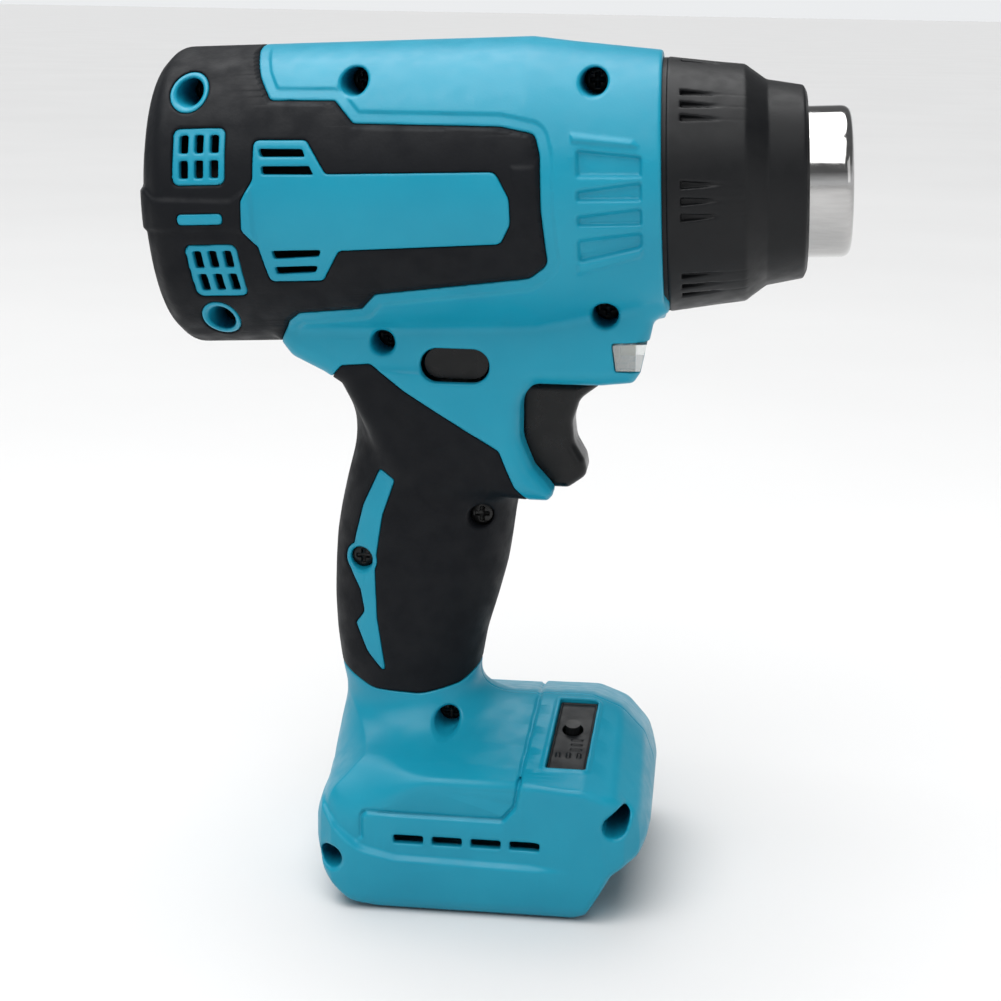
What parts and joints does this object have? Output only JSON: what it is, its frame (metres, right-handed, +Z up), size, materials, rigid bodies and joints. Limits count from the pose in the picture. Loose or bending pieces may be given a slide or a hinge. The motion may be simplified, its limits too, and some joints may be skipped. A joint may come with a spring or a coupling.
{
  "type": "cordless heat gun",
  "caption": "Pistol-grip cordless heat gun: clamshell housing with rubber bumpers, steel nozzle in a black twist-off guard, trigger, lamp, display and battery foot.",
  "frame": {"origin": "middle of the battery slot's mouth, in the plane that the tool stands on, under the handle", "axes": "+X out of the nozzle, +Y to the tool's left, +Z up from the foot to the barrel"},
  "size_m": [0.1644, 0.08, 0.205],
  "materials": {
    "housing": "satin moulded plastic, fine grain",
    "rubber": "matt moulded-on rubber",
    "collar": "fine-textured heat-resistant plastic",
    "nozzle": "polished",
    "tube_steel": "drawn",
    "mica": "layered mica",
    "heating_wire": "oxidised",
    "duct": "moulded",
    "fan_plastic": "moulded",
    "motor_steel": "plated",
    "magnet": "sintered",
    "copper": "bright",
    "bronze": "sintered",
    "trigger": "satin",
    "switch": "moulded",
    "spring_steel": "bright",
    "screw": "black oxide",
    "lens": "clear moulded",
    "led": "clear epoxy",
    "board": "solder mask",
    "display": "smoked",
    "button": "satin",
    "heat_sink": "extruded",
    "component": "moulded",
    "terminal_plastic": "moulded",
    "terminal_metal": "plated"
  },
  "bodies": {
    "housing": {"right_bumper": "rubber", "left_bumper": "rubber", "right_grip_rubber": "rubber", "left_grip_rubber": "rubber", "right_housing": "housing", "left_housing": "housing", "housing_screws": "screw", "nozzle": "nozzle", "nose_ring": "collar", "heater_tube": "tube_steel", "mica_liner": "mica", "heater_former": "mica", "heating_coil": "heating_wire", "thermal_cutoff": "tube_steel", "air_duct": "duct", "fan_housing": "duct", "motor_can": "motor_steel", "motor_end_cap": "duct", "motor_bushes": "bronze", "motor_magnets": "magnet", "motor_brushes": "magnet", "trigger_switch": "switch", "trigger_spring": "spring_steel", "lamp_lens": "lens", "lamp_board": "board", "lamp_led": "led", "display_window": "display", "display_board": "board", "button_switch": "component", "indicator_lamps": "led", "control_board": "board", "heat_sink": "heat_sink", "power_transistors": "component", "filter_capacitor": "component", "terminal_block": "terminal_plastic", "battery_terminals": "terminal_metal"},
    "fan": {"fan_impeller": "fan_plastic", "motor_shaft": "motor_steel", "motor_rotor": "copper", "motor_commutator": "copper"},
    "trigger": {"trigger": "trigger", "switch_plunger": "switch"},
    "lock": {"lock_button": "trigger"},
    "button": {"mode_button": "button"},
    "collar": {"front_collar": "collar"}
  },
  "joints": [
    {"name": "fan_spin", "type": "hinge", "parent": "housing", "child": "fan", "pos_m": [0, 0, 0.1692], "axis": [0.9988, 0, 0.048], "continuous": true},
    {"name": "trigger_slide", "type": "slide", "parent": "housing", "child": "trigger", "axis": [-1, 0, 0], "range_m": [0, 0.006], "stiffness_N_per_m": 600, "springref_m": -0.002, "deforming": ["trigger_spring"]},
    {"name": "lock_slide", "type": "slide", "parent": "housing", "child": "lock", "axis": [0, -1, 0], "range_m": [0, 0.004]},
    {"name": "button_press", "type": "slide", "parent": "housing", "child": "button", "axis": [0, 0.2787, -0.9604], "range_m": [0, 0.0005], "stiffness_N_per_m": 400, "springref_m": -0.0005},
    {"name": "collar_twist", "type": "hinge", "parent": "housing", "child": "collar", "pos_m": [0, 0, 0.1692], "axis": [0.9988, 0, 0.048], "range_deg": [0, 20]}
  ]
}
